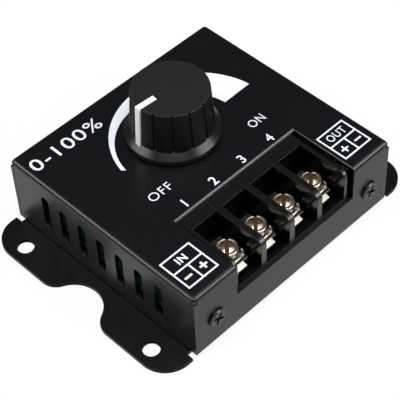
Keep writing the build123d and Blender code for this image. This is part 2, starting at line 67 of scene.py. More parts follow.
def mathNode(tree, operation, first, second=None):
    node = addNode(tree, "Math", operation=operation)
    for place, value in ((0, first), (1, second)):
        if value is None:
            continue
        if isinstance(value, (int, float)):
            node.inputs[place].default_value = value
        else:
            feed(tree, value, node.inputs[place])
    return node.outputs[0]


def rampNode(tree, factor, low, high, fromMin=0.0, fromMax=1.0):
    node = addNode(tree, "MapRange")
    feed(tree, factor, node.inputs["Value"])
    for name, value in (("From Min", fromMin), ("From Max", fromMax), ("To Min", low), ("To Max", high)):
        node.inputs[name].default_value = value
    return node.outputs["Result"]


def mixColor(tree, factor, first, second):
    node = addNode(tree, "Mix", data_type="RGBA")
    feed(tree, factor, node.inputs["Factor"])
    for place, value in ((6, first), (7, second)):    # the two colour sockets
        if isinstance(value, tuple):
            node.inputs[place].default_value = (*value, 1)
        else:
            feed(tree, value, node.inputs[place])
    return node.outputs[2]


def newGroup(name, inputs, outputs):
    group = bpy.data.node_groups.new(name, "ShaderNodeTree")
    for label, value in inputs.items():
        socket = group.interface.new_socket(label, in_out="INPUT", socket_type="NodeSocketFloat")
        socket.default_value = value
    for label, kind in outputs.items():
        group.interface.new_socket(label, in_out="OUTPUT", socket_type=kind)
    return group, group.nodes.new("NodeGroupInput").outputs, group.nodes.new("NodeGroupOutput").inputs


def placeGroup(tree, group, **values):
    node = tree.nodes.new("ShaderNodeGroup")
    node.node_tree = group
    for label, value in values.items():
        if isinstance(value, (int, float)):
            node.inputs[label].default_value = value
        else:
            feed(tree, value, node.inputs[label])
    return node.outputs


# camera at the photograph's angle
shot = {
    "at": (-165.641, -177.591, 276.996),    # mm
    "azimuth": -42.886, "elevation": 48.416, "roll": -3.015,    # degrees
    "lens": 126.45, "sensor": 36, "near": 0.01,
}


def makeCamera():
    azimuth, elevation, roll = (math.radians(shot[key]) for key in ("azimuth", "elevation", "roll"))
    level = math.cos(elevation)
    back = Vector((math.sin(azimuth) * level, -math.cos(azimuth) * level, math.sin(elevation)))
    right = (-back).cross(Vector((0, 0, 1))).normalized()
    down = (-back).cross(right)
    cosRoll, sinRoll = math.cos(roll), math.sin(roll)
    camRight = cosRoll * right - sinRoll * down
    camDown = sinRoll * right + cosRoll * down
    turn = Matrix((camRight, -camDown, back)).transposed()
    data = bpy.data.cameras.new("camera")
    data.lens = shot["lens"]
    data.sensor_width = shot["sensor"]
    data.clip_start = shot["near"]
    camera = bpy.data.objects.new("camera", data)
    camera.matrix_world = Matrix.Translation(Vector(shot["at"]) * mm) @ turn.to_4x4()
    bpy.context.scene.collection.objects.link(camera)
    bpy.context.scene.camera = camera


# soft studio: a pale floor, a dim room and five soft lamps, in metres and watts
studio = {
    "floorSize": 6.0,
    "floorDrop": 0.0002,
    "floorColor": (0.86, 0.86, 0.86, 1),
    "floorGlow": 0.78,
    "mirrorGlow": (0.66, 0.03),    # of the floor mirrored in the object's gloss, near and far
    "glowReach": (0.068, 0.115),    # from the object's middle, over which it fades
    "shadedHole": (0.00216, 0.0027),    # from a mounting hole's middle, over which the flange's shade ends
    "backdrop": (1, 1, 1),
    "room": (0.06, 0.062, 0.068),
    "lamps": {
        "backLeft": {"at": (-0.60, 0.41, 0.45), "size": (0.55, 0.38), "power": 3.6},
        "frontRight": {"at": (0.40, -0.62, 0.45), "size": (0.5, 0.38), "power": 4.4},
        "overhead": {"at": (-0.16, -0.18, 1.1), "size": (0.7, 0.7), "power": 10.5},
        "cameraSide": {"at": (-0.60, -0.64, 0.92), "size": (1.0, 1.0), "power": 1.0},
        "rightHigh": {"at": (0.50, -0.20, 0.90), "size": (0.26, 0.34), "power": 0.55},
    },
}


def makeLamp(name, spec):
    data = bpy.data.lights.new(name, "AREA")
    data.shape = "RECTANGLE"
    data.size, data.size_y = spec["size"]
    data.energy = spec["power"]
    lamp = bpy.data.objects.new(name, data)
    lamp.location = spec["at"]
    lamp.rotation_mode = "QUATERNION"
    lamp.rotation_quaternion = (-Vector(spec["at"])).to_track_quat("-Z", "Y")
    bpy.context.scene.collection.objects.link(lamp)


def makeRoom():
    world = bpy.data.worlds.new("room")
    world.use_nodes = True
    tree = world.node_tree
    path = addNode(tree, "LightPath")
    seen = mixColor(tree, path.outputs["Is Camera Ray"], studio["room"], studio["backdrop"])
    feed(tree, seen, tree.nodes["Background"].inputs["Color"])
    return world


def holeDistance(tree):
    # how far a point of the floor is from the nearest mounting hole, where the flange shades it
    spacing = frame["record"]["mounts"][0]["dims"]
    fold = addNode(tree, "VectorMath", operation="ABSOLUTE")
    feed(tree, addNode(tree, "NewGeometry").outputs["Position"], fold.inputs[0])
    away = addNode(tree, "VectorMath", operation="DISTANCE")
    feed(tree, fold.outputs["Vector"], away.inputs[0])
    away.inputs[1].default_value = (spacing["spacing_x_mm"] / 2 * mm, spacing["spacing_y_mm"] / 2 * mm, 0)
    return away.outputs["Value"]


def floorMaterial():
    mat = bpy.data.materials.new("paleFloor")
    mat.use_nodes = True
    tree = mat.node_tree
    tree.nodes.clear()
    path = addNode(tree, "LightPath").outputs
    mirrored = mathNode(tree, "MAXIMUM", path["Is Glossy Ray"], path["Is Transmission Ray"])
    seen = mathNode(tree, "MAXIMUM", path["Is Camera Ray"], mirrored)
    away = addNode(tree, "VectorMath", operation="LENGTH")
    feed(tree, addNode(tree, "NewGeometry").outputs["Position"], away.inputs[0])
    fading = rampNode(tree, away.outputs["Value"], *studio["mirrorGlow"], *studio["glowReach"])
    lit = rampNode(tree, holeDistance(tree), 0.0, 1.0, *studio["shadedHole"])
    mirror = mathNode(tree, "MULTIPLY", fading, lit)
    glow = addNode(tree, "Emission")
    feed(tree, mathNode(tree, "MAXIMUM", path["Is Camera Ray"], mirror), glow.inputs["Strength"])
    paint = addNode(tree, "BsdfDiffuse")
    paint.inputs["Color"].default_value = studio["floorColor"]
    mix = addNode(tree, "MixShader")
    feed(tree, mathNode(tree, "MULTIPLY", seen, studio["floorGlow"]), mix.inputs[0])
    feed(tree, paint.outputs[0], mix.inputs[1])
    feed(tree, glow.outputs[0], mix.inputs[2])
    feed(tree, mix.outputs[0], addNode(tree, "OutputMaterial").inputs["Surface"])
    return mat


def makeStudio():
    scene = bpy.context.scene
    scene.view_settings.view_transform = "Standard"
    scene.world = makeRoom()
    for name, spec in studio["lamps"].items():
        makeLamp(name, spec)
    half = studio["floorSize"] / 2
    low = -studio["floorDrop"]
    mesh = bpy.data.meshes.new("floor")
    corners = [(-half, -half, low), (half, -half, low), (half, half, low), (-half, half, low)]
    mesh.from_pydata(corners, [], [(0, 1, 2, 3)])
    mesh.materials.append(floorMaterial())
    floor = bpy.data.objects.new("floor", mesh)
    scene.collection.objects.link(floor)


makeCamera()
makeStudio()
print("camera, floor and lamps placed")


# fine grain of powder coat and moulded skin: height for bump, speckle for colour and gloss
grainShape = {
    "size": 0.25, "detail": 3, "cells": 0.8, "pitReach": 0.7, "pitShare": 0.5, "speckle": (0.35, 0.7),
}


def makeGrainGroup():
    outputs = {"Height": "NodeSocketFloat", "Speckle": "NodeSocketFloat"}
    tree, given, out = newGroup("fineGrain", {"Size mm": grainShape["size"]}, outputs)
    place = addNode(tree, "TexCoord").outputs["Object"]
    scale = mathNode(tree, "DIVIDE", 1 / mm, given["Size mm"])
    coarse = addNode(tree, "TexNoise")
    feed(tree, place, coarse.inputs["Vector"])
    feed(tree, scale, coarse.inputs["Scale"])
    coarse.inputs["Detail"].default_value = grainShape["detail"]
    cells = addNode(tree, "TexVoronoi")
    feed(tree, place, cells.inputs["Vector"])
    feed(tree, mathNode(tree, "MULTIPLY", scale, grainShape["cells"]), cells.inputs["Scale"])
    pits = rampNode(tree, cells.outputs["Distance"], 1.0, 0.0, 0.0, grainShape["pitReach"])
    pits = mathNode(tree, "MULTIPLY", pits, grainShape["pitShare"])
    feed(tree, mathNode(tree, "ADD", pits, coarse.outputs["Fac"]), out["Height"])
    feed(tree, rampNode(tree, coarse.outputs["Fac"], 0.0, 1.0, *grainShape["speckle"]), out["Speckle"])
    return tree


# slow patchy change of gloss from handling and uneven film
filmShape = {"size": 14.0, "detail": 4, "roughness": 0.6, "patch": (0.3, 0.7)}


def makePatchGroup():
    tree, given, out = newGroup("patchyFilm", {"Size mm": filmShape["size"]}, {"Patch": "NodeSocketFloat"})
    place = addNode(tree, "TexCoord").outputs["Object"]
    noise = addNode(tree, "TexNoise")
    feed(tree, place, noise.inputs["Vector"])
    feed(tree, mathNode(tree, "DIVIDE", 1 / mm, given["Size mm"]), noise.inputs["Scale"])
    noise.inputs["Detail"].default_value = filmShape["detail"]
    noise.inputs["Roughness"].default_value = filmShape["roughness"]
    feed(tree, rampNode(tree, noise.outputs["Fac"], 0.0, 1.0, *filmShape["patch"]), out["Patch"])
    return tree


# thin film, rubbing and a painted highlight along sharp edges, with a rounded normal there
edgeShape = {"width": 0.2, "samples": 6, "rubbedAndHighlit": (0.75, 0.99)}


def makeEdgeGroup():
    outputs = {"Edge": "NodeSocketFloat", "Normal": "NodeSocketVector"}
    tree, given, out = newGroup("wornAndHighlitEdge", {"Width mm": edgeShape["width"]}, outputs)
    bevel = addNode(tree, "Bevel", samples=edgeShape["samples"])
    feed(tree, mathNode(tree, "MULTIPLY", given["Width mm"], mm), bevel.inputs["Radius"])
    flat = addNode(tree, "NewGeometry").outputs["Normal"]
    dot = addNode(tree, "VectorMath", operation="DOT_PRODUCT")
    feed(tree, bevel.outputs["Normal"], dot.inputs[0])
    feed(tree, flat, dot.inputs[1])
    feed(tree, rampNode(tree, dot.outputs["Value"], 1.0, 0.0, *edgeShape["rubbedAndHighlit"]), out["Edge"])
    feed(tree, bevel.outputs["Normal"], out["Normal"])
    return tree


grainGroup = makeGrainGroup()
patchGroup = makePatchGroup()
edgeGroup = makeEdgeGroup()


def newMaterial(name):
    mat = bpy.data.materials.new(name)
    mat.use_nodes = True
    return mat, mat.node_tree, mat.node_tree.nodes["Principled BSDF"]


def alongMask(tree, axis, start, end, bothWays=False):
    # 0 before start and 1 after end, in mm along an axis of the frame, or from its middle both ways
    split = addNode(tree, "SeparateXYZ")
    feed(tree, addNode(tree, "TexCoord").outputs["Object"], split.inputs[0])
    place = mathNode(tree, "ABSOLUTE", split.outputs[axis]) if bothWays else split.outputs[axis]
    return rampNode(tree, place, 0.0, 1.0, start * mm, end * mm)


def facingMask(tree, axis, start, end):
    # 0 to 1 as a face turns towards either end of an axis
    split = addNode(tree, "SeparateXYZ")
    feed(tree, addNode(tree, "TexCoord").outputs["Normal"], split.inputs[0])
    return rampNode(tree, mathNode(tree, "ABSOLUTE", split.outputs[axis]), 0.0, 1.0, start, end)


def placeMask(tree, ramps):
    # 1 in a place that several ramps along the axes close in
    mask = None
    for ramp in ramps:
        step = alongMask(tree, *ramp)
        mask = step if mask is None else mathNode(tree, "MULTIPLY", mask, step)
    return mask


# one recipe for every painted, moulded or plated surface, each with its own values
def makeFinish(name, spec):
    mat, tree, shader = newMaterial(name)
    grain = placeGroup(tree, grainGroup, **{"Size mm": spec["grain"]})
    patch = placeGroup(tree, patchGroup, **{"Size mm": spec.get("patch", filmShape["size"])})
    bump = addNode(tree, "Bump")
    bump.inputs["Distance"].default_value = spec["relief"] * mm
    feed(tree, grain["Height"], bump.inputs["Height"])
    feed(tree, bump.outputs["Normal"], shader.inputs["Normal"])
    flecks = rampNode(tree, grain["Speckle"], 0.0, spec["speckle"])
    wearAndShading = mixColor(tree, flecks, spec["color"], spec["fleck"])
    if "edge" in spec:
        width = spec["edge"]
        if "edgeAbove" in spec:
            width = mathNode(tree, "MULTIPLY", alongMask(tree, "Z", *spec["edgeAbove"]), width)
        edge = placeGroup(tree, edgeGroup, **{"Width mm": width})
        feed(tree, edge["Normal"], bump.inputs["Normal"])
        # lighter colour on sharp edges: part wear, part painted highlight
        if "rubAndHighlight" in spec:
            rubbedAndHighlit = rampNode(tree, edge["Edge"], 0.0, spec["rubAndHighlight"])
            wearAndShading = mixColor(tree, rubbedAndHighlit, wearAndShading, spec["edgeWearAndHighlightColor"])
    # painted highlight and painted shade at set places on the surface
    for place, color in spec.get("paintedLightMarks", ()):
        wearAndShading = mixColor(tree, placeMask(tree, place), wearAndShading, color)
    # painted light and shade on faces turned along one axis
    if "facingShading" in spec:
        wearAndShading = mixColor(tree, facingMask(tree, *spec["facingShading"]), wearAndShading, spec["facingShadingColor"])
    # painted shade along an axis
    if "shaded" in spec:
        wearAndShading = mixColor(tree, alongMask(tree, *spec["shaded"]), wearAndShading, spec["shadedColor"])
    # base colour: grain and wear together with the painted highlights and painted shade above
    feed(tree, wearAndShading, shader.inputs["Base Color"])
    fine = rampNode(tree, grain["Speckle"], 0.0, spec["glossGrain"])
    slow = rampNode(tree, patch["Patch"], spec["roughness"], spec["roughness"] + spec["glossPatch"])
    gloss = mathNode(tree, "ADD", fine, slow)
    if "polished" in spec:
        mirror = facingMask(tree, *spec["polished"])
        gloss = mathNode(tree, "ADD", gloss, mathNode(tree, "MULTIPLY", mirror, spec["polishedGloss"]))
    feed(tree, gloss, shader.inputs["Roughness"])
    for key, label in (("metallic", "Metallic"), ("specular", "Specular IOR Level")):
        if key in spec:
            shader.inputs[label].default_value = spec[key]
    # painted shade: near-black metal where the masks are set, so no reflection shows there
    if "paintedShadeMetal" in spec:
        first, second = (placeMask(tree, place) for place in spec["paintedShadeMetal"])
        feed(tree, mathNode(tree, "MAXIMUM", first, second), shader.inputs["Metallic"])
    if "skinned" in spec:
        front = alongMask(tree, *spec["skinnedFrom"])
        skin = mathNode(tree, "MULTIPLY", facingMask(tree, *spec["skinned"]), front)
        feed(tree, skin, shader.inputs["Coat Weight"])
        shader.inputs["Coat Roughness"].default_value = spec["skinGloss"]
    return mat


# places on the sheet, as ramps in mm along the axes; the lip behind the terminals gets a painted highlight
paintedHighlightLip = (("Y", -12.6, -12.5), ("Y", -11.85, -11.95), ("X", -20.75, -20.55), ("X", 21.6, 21.3))
shadedFootCrease = (("Z", 1.3, 1.2), ("X", 34.5, 34.65, True), ("X", 35.1, 35.0, True))    # painted shade along the walls' foot
shadedFlangeEdge = (("Z", 0.97, 0.9), ("X", 35.3, 35.5, True))    # painted shade on the cut edge of the flanges

# sizes in mm; shaded is painted shade along an axis; polished, skinned and the facing colour (painted light
# and shade) follow the way a face turns
finishes = {
    "powderCoat": {
        "color": (0.0022, 0.0023, 0.0029), "fleck": (0.0055, 0.0057, 0.0068), "speckle": 0.6, "grain": 0.22,
        "roughness": 0.26, "glossGrain": 0.06, "glossPatch": 0.03, "relief": 0.004, "edge": 0.15, "rubAndHighlight": 0.4,
        "edgeWearAndHighlightColor": (0.02, 0.02, 0.022), "edgeAbove": (1.3, 1.8),    # not on the flanges
        # painted highlight on the lip behind the terminals and painted shade in the walls' foot crease
        "paintedLightMarks": ((paintedHighlightLip, (0.085, 0.085, 0.088)), (shadedFootCrease, (0.007, 0.007, 0.0075))),
        "paintedShadeMetal": (shadedFootCrease, shadedFlangeEdge),    # painted shade: near-black metal takes the reflection out of the crease and the cut edge
    },
    "housingPlastic": {
        "color": (0.005, 0.005, 0.0052), "fleck": (0.007, 0.007, 0.007), "speckle": 0.3, "grain": 0.5,
        "roughness": 0.30, "glossGrain": 0.05, "glossPatch": 0.05, "relief": 0.002, "edge": 0.05, "rubAndHighlight": 0.8,
        "edgeWearAndHighlightColor": (0.06, 0.06, 0.06), "specular": 0.2,
        "polished": ("X", 0.9, 0.95), "polishedGloss": -0.16,
        "skinned": ("Y", 0.3, 0.6), "skinnedFrom": ("Y", -28.0, -29.0), "skinGloss": 0.32,
        "shaded": ("Z", 20.6, 20.0), "shadedColor": (0.0008, 0.0008, 0.0008),    # painted shade inside the wells
    },
    "whitePlastic": {
        "color": (0.80, 0.79, 0.76), "fleck": (0.72, 0.71, 0.68), "speckle": 0.4, "grain": 0.2,
        "roughness": 0.42, "glossGrain": 0.08, "glossPatch": 0.05, "relief": 0.004, "edge": 0.1, "rubAndHighlight": 0.2,
        "edgeWearAndHighlightColor": (0.85, 0.84, 0.82),
    },
    "blackenedSteel": {
        "color": (0.002, 0.002, 0.002), "fleck": (0.005, 0.005, 0.005), "speckle": 0.5, "grain": 0.18,
        "roughness": 0.26, "glossGrain": 0.05, "glossPatch": 0.03, "relief": 0.002,
        # painted light on the faces turned to the front and back
        "facingShading": ("Y", 0.2, 0.35), "facingShadingColor": (0.024, 0.024, 0.025),
        "shaded": ("Y", 32.9, 32.8, True), "shadedColor": (0.002, 0.002, 0.002),    # painted shade inside the recess
    },
    "nickel": {
        "color": (0.92, 0.88, 0.79), "fleck": (0.88, 0.83, 0.73), "speckle": 0.5, "grain": 0.9, "patch": 2.5,
        "roughness": 0.46, "glossGrain": 0.02, "glossPatch": 0.03, "relief": 0.0002, "metallic": 1.0,
        "shaded": ("Y", -27.55, -27.4), "shadedColor": (0.07, 0.066, 0.058),    # painted shade behind the clamps
        # painted shade on faces turned to the front and back
        "facingShading": ("Y", 0.85, 0.98), "facingShadingColor": (0.10, 0.10, 0.09),
    },
    # polished nickel with a painted highlight, for the clamps' rolled edges
    "brightNickel": {
        "color": (0.90, 0.86, 0.79), "fleck": (0.84, 0.79, 0.71), "speckle": 0.5, "grain": 0.6, "patch": 2.0,
        "roughness": 0.22, "glossGrain": 0.04, "glossPatch": 0.05, "relief": 0.0004, "metallic": 1.0,
    },
    "satinNickel": {
        "color": (0.66, 0.63, 0.57), "fleck": (0.58, 0.54, 0.48), "speckle": 0.5, "grain": 0.7, "patch": 2.0,
        "roughness": 0.36, "glossGrain": 0.04, "glossPatch": 0.05, "relief": 0.0005, "metallic": 1.0,
        # painted shade on faces turned to the front and back
        "facingShading": ("Y", 0.6, 0.9), "facingShadingColor": (0.08, 0.07, 0.06),
        "shaded": ("Y", -25.9, -25.7), "shadedColor": (0.05, 0.044, 0.037),    # painted shade under the screw's head
    },
    "screwNickel": {
        "color": (0.84, 0.76, 0.65), "fleck": (0.54, 0.41, 0.29), "speckle": 0.9, "grain": 0.8, "patch": 1.6,
        "roughness": 0.22, "glossGrain": 0.10, "glossPatch": 0.06, "relief": 0.006, "metallic": 1.0,
    },
    # tarnish in the screws' recesses, and painted shade on the clamps' upright front faces
    "tarnishAndShadeNickel": {
        "color": (0.20, 0.13, 0.08), "fleck": (0.09, 0.06, 0.035), "speckle": 0.8, "grain": 0.6, "patch": 2.0,
        "roughness": 0.36, "glossGrain": 0.10, "glossPatch": 0.10, "relief": 0.003, "metallic": 1.0,
    },
    "zincSteel": {
        "color": (0.55, 0.55, 0.56), "fleck": (0.42, 0.42, 0.44), "speckle": 0.7, "grain": 0.4, "patch": 3.0,
        "roughness": 0.26, "glossGrain": 0.12, "glossPatch": 0.10, "relief": 0.004, "edge": 0.12, "rubAndHighlight": 0.7,
        "edgeWearAndHighlightColor": (0.75, 0.75, 0.76), "metallic": 1.0,
    },
    "brass": {
        "color": (0.62, 0.43, 0.17), "fleck": (0.45, 0.29, 0.10), "speckle": 0.6, "grain": 0.4, "patch": 3.0,
        "roughness": 0.24, "glossGrain": 0.10, "glossPatch": 0.10, "relief": 0.004, "edge": 0.12, "rubAndHighlight": 0.7,
        "edgeWearAndHighlightColor": (0.80, 0.62, 0.32), "metallic": 1.0,
    },
    "solderResist": {
        "color": (0.005, 0.06, 0.03), "fleck": (0.008, 0.09, 0.045), "speckle": 0.8, "grain": 1.6,
        "patch": 5.0, "roughness": 0.30, "glossGrain": 0.08, "glossPatch": 0.10, "relief": 0.01, "edge": 0.1,
        "rubAndHighlight": 0.6, "edgeWearAndHighlightColor": (0.20, 0.19, 0.10),
        # painted shade on the board's right end, deep inside the case
        "shaded": ("X", 18.5, 20.0), "shadedColor": (0.001, 0.004, 0.002),
    },
    "greyMoulding": {
        "color": (0.07, 0.07, 0.075), "fleck": (0.10, 0.10, 0.105), "speckle": 0.6, "grain": 0.25,
        "roughness": 0.38, "glossGrain": 0.10, "glossPatch": 0.06, "relief": 0.006, "edge": 0.12, "rubAndHighlight": 0.4,
        "edgeWearAndHighlightColor": (0.16, 0.16, 0.165),
    },
    "tanLacquer": {
        "color": (0.42, 0.27, 0.12), "fleck": (0.34, 0.20, 0.08), "speckle": 0.6, "grain": 0.3,
        "roughness": 0.30, "glossGrain": 0.08, "glossPatch": 0.08, "relief": 0.006, "edge": 0.1, "rubAndHighlight": 0.3,
        "edgeWearAndHighlightColor": (0.52, 0.37, 0.2),
    },
    "whiteInk": {
        "color": (0.80, 0.83, 0.88), "fleck": (0.70, 0.74, 0.80), "speckle": 0.35, "grain": 0.3,
        "roughness": 0.50, "glossGrain": 0.10, "glossPatch": 0.05, "relief": 0.004, "edge": 0.05,
    },
}
finish = {name: makeFinish(name, spec) for name, spec in finishes.items()}


# knob moulding: matt cap, satin flutes and a skirt with fine turned rings
knobSkin = {
    "side": (0.0008, 0.0008, 0.0009), "cap": (0.006, 0.006, 0.0064), "fleck": (0.011, 0.011, 0.0114),
    "skirt": (0.006, 0.006, 0.0062),
    "specular": 0.36, "sideGloss": 0.46, "capGloss": 0.54, "skirtGloss": 0.28, "speckle": 0.6, "edge": 0.12,
    "grain": 0.20, "relief": 0.010, "sideGrain": 0.25,    # the flutes' share of the cap's grain
    "ringPitch": 0.16, "ringRelief": 0.0012,
    "skirtHeight": 2.75, "skirtBlend": 0.1,    # mm above the knob's foot
    "capStart": 0.16, "capFull": 0.05,    # mm below its top
}


def makeKnobFinish():
    mat, tree, shader = newMaterial("knobPlastic")
    low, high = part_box("knob")
    axis = (low + high) / 2
    place = addNode(tree, "TexCoord").outputs["Object"]
    spot = addNode(tree, "VectorMath", operation="SUBTRACT")
    feed(tree, place, spot.inputs[0])
    spot.inputs[1].default_value = (axis.x, axis.y, low.z)
    split = addNode(tree, "SeparateXYZ")
    feed(tree, spot.outputs["Vector"], split.inputs[0])
    height = high.z - low.z
    capStart, capFull = (height - knobSkin[key] * mm for key in ("capStart", "capFull"))
    cap = rampNode(tree, split.outputs["Z"], 0.0, 1.0, capStart, capFull)
    rise = knobSkin["skirtHeight"] * mm
    skirt = rampNode(tree, split.outputs["Z"], 1.0, 0.0, rise, rise + knobSkin["skirtBlend"] * mm)
    flat = addNode(tree, "CombineXYZ")
    feed(tree, split.outputs["X"], flat.inputs["X"])
    feed(tree, split.outputs["Y"], flat.inputs["Y"])
    radius = addNode(tree, "VectorMath", operation="LENGTH")
    feed(tree, flat.outputs[0], radius.inputs[0])
    turns = mathNode(tree, "MULTIPLY", radius.outputs["Value"], 2 * math.pi / (knobSkin["ringPitch"] * mm))
    rings = mathNode(tree, "MULTIPLY", mathNode(tree, "SINE", turns), skirt)
    grain = placeGroup(tree, grainGroup, **{"Size mm": knobSkin["grain"]})
    edge = placeGroup(tree, edgeGroup, **{"Width mm": knobSkin["edge"]})
    skin = mixColor(tree, cap, mixColor(tree, skirt, knobSkin["side"], knobSkin["skirt"]), knobSkin["cap"])
    flecks = mathNode(tree, "MULTIPLY", rampNode(tree, grain["Speckle"], 0.0, knobSkin["speckle"]), cap)
    feed(tree, mixColor(tree, flecks, skin, knobSkin["fleck"]), shader.inputs["Base Color"])
    bodyGloss = rampNode(tree, cap, knobSkin["sideGloss"], knobSkin["capGloss"])
    skirtCut = rampNode(tree, skirt, 0.0, knobSkin["skirtGloss"] - knobSkin["sideGloss"])
    feed(tree, mathNode(tree, "ADD", bodyGloss, skirtCut), shader.inputs["Roughness"])
    turned = addNode(tree, "Bump")
    turned.inputs["Distance"].default_value = knobSkin["ringRelief"] * mm
    feed(tree, rings, turned.inputs["Height"])
    feed(tree, edge["Normal"], turned.inputs["Normal"])
    bump = addNode(tree, "Bump")
    bump.inputs["Distance"].default_value = knobSkin["relief"] * mm
    fine = mathNode(tree, "MULTIPLY", grain["Height"], rampNode(tree, cap, knobSkin["sideGrain"], 1.0))
    feed(tree, fine, bump.inputs["Height"])
    feed(tree, turned.outputs["Normal"], bump.inputs["Normal"])
    feed(tree, bump.outputs["Normal"], shader.inputs["Normal"])
    shader.inputs["Specular IOR Level"].default_value = knobSkin["specular"]
    return mat


finish["knobPlastic"] = makeKnobFinish()
print("materials made:", len(finish))

# which nodes wear which finish
wearing = {
    "powderCoat": ["top_cover", "bottom_plate"],
    "blackenedSteel": ["case_screws"],
    "solderResist": ["circuit_board"],
    "brass": ["board_standoffs", "potentiometer_bushing"],
    "zincSteel": ["board_screws", "potentiometer_washer", "potentiometer_nut", "potentiometer_terminals",
                  "potentiometer_shaft"],
    "housingPlastic": ["terminal_housing", "power_transistors", "flyback_diode", "timer_chip",
                       "voltage_regulator"],
    "greyMoulding": ["potentiometer_body", "filter_capacitors"],
    "knobPlastic": ["knob"],
    "whitePlastic": ["knob_pointer"],
    "tanLacquer": ["resistors", "small_capacitors"],
    "nickel": [f"{piece}_{way}" for way in ways for piece in ("terminal_plate", "terminal_screw")],
    "satinNickel": [f"{piece}_{way}" for way in ways for piece in ("clamp_plate", "lock_washer")],
}


def dressNodes():
    for name, members in wearing.items():
        for member in members:
            mesh = nodes[member].data
            mesh.materials.clear()
            mesh.materials.append(finish[name])


dressNodes()
print("finishes assigned")


def finishPiece(name, mesh, body, slot, *materials):
    piece = bpy.data.objects.new(name, mesh)
    bpy.context.scene.collection.objects.link(piece)
    mesh.materials.clear()
    for material in materials:
        mesh.materials.append(finish[material])
    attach(piece, body)
    return piece


def bakedMesh(name, item):
    # mesh of a temporary object with its modifiers or letters worked out
    bpy.context.scene.collection.objects.link(item)
    view = bpy.context.evaluated_depsgraph_get()
    mesh = bpy.data.meshes.new_from_object(item.evaluated_get(view))
    mesh.name = name
    bpy.data.objects.remove(item)
    return mesh


def meshFrom(name, build):
    bmesh.ops.recalc_face_normals(build, faces=build.faces[:])
    mesh = bpy.data.meshes.new(name)
    build.to_mesh(mesh)
    build.free()
    return mesh


def smoothFaces(mesh, sharp):
    mesh.shade_smooth()
    mesh.set_sharp_from_angle(angle=math.radians(sharp))


def tempObject(name, build):
    return bpy.data.objects.new(name, meshFrom(name, build))


def cutMesh(name, whole, cutter, selfCut=False):
    # mesh of one temporary object with another taken out of it
    bpy.context.scene.collection.objects.link(cutter)
    cut = whole.modifiers.new("cut", "BOOLEAN")
    cut.operation = "DIFFERENCE"
    cut.object = cutter
    cut.use_self = selfCut
    mesh = bakedMesh(name, whole)
    bpy.data.objects.remove(cutter)
    return mesh


def onCircle(centre, radius, angle, height):
    return centre.x + radius * math.cos(angle), centre.y + radius * math.sin(angle), height


def bridgeRings(build, rings):
    # faces from each ring of points to the next, three-sided where a ring is one point
    for lower, upper in zip(rings, rings[1:]):
        for side in range(len(lower)):
            after = (side + 1) % len(lower)
            corners = [lower[side], lower[after], upper[after], upper[side]]
            build.faces.new(list(dict.fromkeys(corners)))


def latheRings(build, centre, profile, sides, swell=0.0, lobes=0):
    # closed surface of revolution, round or lobed, from (radius, height) in metres with both ends on the axis
    rings = []
    for radius, height in profile:
        if radius == 0:
            rings.append([build.verts.new((centre.x, centre.y, height))] * sides)
            continue
        ring = []
        for side in range(sides):
            angle = 2 * math.pi * side / sides
            reach = radius * (1 + swell * math.cos(lobes * angle))
            ring.append(build.verts.new(onCircle(centre, reach, angle, height)))
        rings.append(ring)
    bridgeRings(build, rings)


# terminal screws: crowned head with a combined slot and cross, and a cut thread, in mm
clampScrew = {
    "sides": 56, "headRadius": 2.9, "headHeight": 2.2, "crown": 0.36, "crownSteps": 6, "rimStep": 0.01,
    "face": ((2.45, -0.46), (2.35, -0.49), (2.22, -0.53), (2.1, -0.55), (1.9, -0.49), (1.6, -0.35),
             (1.2, -0.20), (0.8, -0.09), (0.4, -0.02)),    # radius and height of the dished top
    "underEdge": 0.12, "sharp": 35,
    "slotWidth": 1.2, "slotDepth": 1.05, "slotLength": 8.0, "slotTaper": 0.22, "slotTurn": 45,
    "crossLength": 4.5, "cutAbove": 1.2,
    "recess": {"slack": 0.02, "skin": 0.2, "outward": 0.7, "upward": 0.2},    # limits of the tarnished faces
    "shank": 1.75, "pitch": 0.6, "threadDepth": 0.34, "threadSides": 28, "rowsPerPitch": 6,
    "tip": 0.7, "relief": 0.5, "overlap": 0.1,
}


def headProfile(radius, foot, top):
    crown = clampScrew["crown"] * mm
    flat = radius - crown
    rim = top + (clampScrew["face"][0][1] + clampScrew["rimStep"]) * mm
    edge = clampScrew["underEdge"] * mm
    points = [(0, foot), (radius - edge, foot), (radius, foot + edge)]
    steps = clampScrew["crownSteps"]
    for step in range(steps + 1):
        angle = math.pi / 2 * step / steps
        points.append((flat + crown * math.cos(angle), rim - crown + crown * math.sin(angle)))
    points += [(across * mm, top + height * mm) for across, height in clampScrew["face"]]
    return points + [(0, top)]


def recessCutter(centre, top):
    # slot and cross with walls that lean in towards the bottom
    build = bmesh.new()
    half, slot, cross = (clampScrew[key] * mm / 2 for key in ("slotWidth", "slotLength", "crossLength"))
    lean, depth, over = (clampScrew[key] * mm for key in ("slotTaper", "slotDepth", "cutAbove"))
    turn = Matrix.Rotation(math.radians(clampScrew["slotTurn"]), 3, "Z")
    level = Vector((centre.x, centre.y, 0))
    for alongX, alongY in ((slot, half), (half, cross)):
        rings = []
        for height, narrow in ((top - depth, lean), (top + over, -lean * over / depth)):
            x, y = alongX - narrow, alongY - narrow
            corners = [Vector((signX * x, signY * y, height)) for signX, signY in cornerSigns]
            rings.append([build.verts.new(turn @ corner + level) for corner in corners])
        build.faces.new(rings[0][::-1])
        build.faces.new(rings[1])
        bridgeRings(build, rings)
    return tempObject("recessCutter", build)


